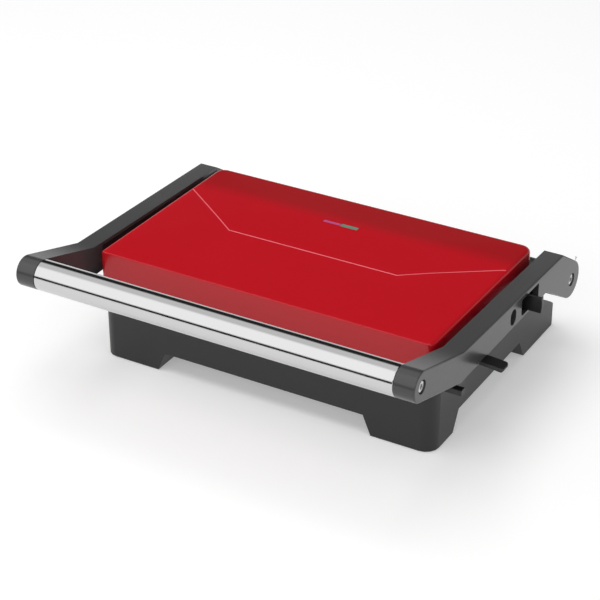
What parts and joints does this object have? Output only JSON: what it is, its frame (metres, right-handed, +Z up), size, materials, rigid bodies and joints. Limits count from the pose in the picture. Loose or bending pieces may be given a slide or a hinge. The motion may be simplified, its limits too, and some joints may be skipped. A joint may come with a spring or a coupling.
{
  "type": "contact grill",
  "caption": "Closed contact grill with a faceted lid that floats between two hinged side arms, a bar handle across the front, ribbed plates, and a slide latch.",
  "frame": {"origin": "on the table, under the middle of the whole closed grill", "axes": "+X to the grill's right, from the arm to the latch tab; -Y towards the handle; +Z up"},
  "size_m": [0.314, 0.2658, 0.1013],
  "materials": {
    "black_plastic": "fine moulded grain",
    "arm_plastic": "semi-gloss, dark grey",
    "red_paint": "gloss red paint",
    "polished_steel": "brushed and polished",
    "fastener_steel": "zinc plated",
    "brass": "turned",
    "coated_aluminium": "black non-stick coat",
    "heater_steel": "dark annealed",
    "sheet_steel": "rolled",
    "rubber": "matt",
    "ceramic": "unglazed ceramic",
    "power_lens": "magenta lens",
    "ready_lens": "grey-green lens",
    "lamp_glass": "small neon lamp",
    "circuit_board": "green laminate"
  },
  "bodies": {
    "base": {"base_housing": "black_plastic", "bottom_cover": "sheet_steel", "base_screw_1": "fastener_steel", "base_screw_2": "fastener_steel", "base_screw_3": "fastener_steel", "base_screw_4": "fastener_steel", "foot_pad_1": "rubber", "foot_pad_2": "rubber", "foot_pad_3": "rubber", "foot_pad_4": "rubber", "lower_plate": "coated_aluminium", "lower_heater": "heater_steel", "lower_reflector": "sheet_steel", "lower_thermostat": "ceramic", "thermal_fuse": "ceramic", "terminal_block": "ceramic", "cord_gland": "rubber", "hinge_screw_left": "fastener_steel", "hinge_screw_right": "fastener_steel", "hinge_insert_left": "brass", "hinge_insert_right": "brass", "stop_cam": "fastener_steel"},
    "arms": {"arm_left": "arm_plastic", "arm_right": "arm_plastic", "arm_cover_left": "black_plastic", "arm_cover_right": "black_plastic", "handle_tube": "polished_steel", "handle_plug_left": "black_plastic", "handle_plug_right": "black_plastic", "handle_screw_left": "fastener_steel", "handle_screw_right": "fastener_steel", "release_spring": "fastener_steel"},
    "float_pins": {"float_pin_left": "fastener_steel", "float_pin_right": "fastener_steel"},
    "lid": {"lid_cover": "red_paint", "lid_frame": "black_plastic", "upper_plate": "coated_aluminium", "upper_heater": "heater_steel", "upper_reflector": "sheet_steel", "upper_thermostat": "ceramic", "lamp_board": "circuit_board", "power_lamp": "lamp_glass", "ready_lamp": "lamp_glass", "power_lens": "power_lens", "ready_lens": "ready_lens", "lid_screw_1": "fastener_steel", "lid_screw_2": "fastener_steel", "lid_screw_3": "fastener_steel", "lid_screw_4": "fastener_steel"},
    "latch": {"latch_slider": "black_plastic"},
    "release": {"release_slider": "black_plastic"}
  },
  "joints": [
    {"name": "arm_hinge", "type": "hinge", "parent": "base", "child": "arms", "pos_m": [-0.0075, 0.11288, 0.051], "axis": [-1, 0, 0], "range_deg": [0, 180]},
    {"name": "lid_float", "type": "slide", "parent": "arms", "child": "float_pins", "axis": [0, 0, 1], "range_m": [0, 0.0045]},
    {"name": "lid_tilt", "type": "hinge", "parent": "float_pins", "child": "lid", "pos_m": [-0.0075, 0.01208, 0.069], "axis": [-1, 0, 0], "range_deg": [0, 3.3]},
    {"name": "latch_slide", "type": "slide", "parent": "arms", "child": "latch", "axis": [0, -1, 0], "range_m": [0, 0.01]},
    {"name": "release_slide", "type": "slide", "parent": "arms", "child": "release", "axis": [0, -1, 0], "range_m": [0, 0.005], "stiffness_N_per_m": 150, "deforming": ["release_spring"]}
  ],
  "couplings": [
    {"joint": "lid_tilt", "follows": "lid_float", "rad_per_m": 12.66}
  ]
}
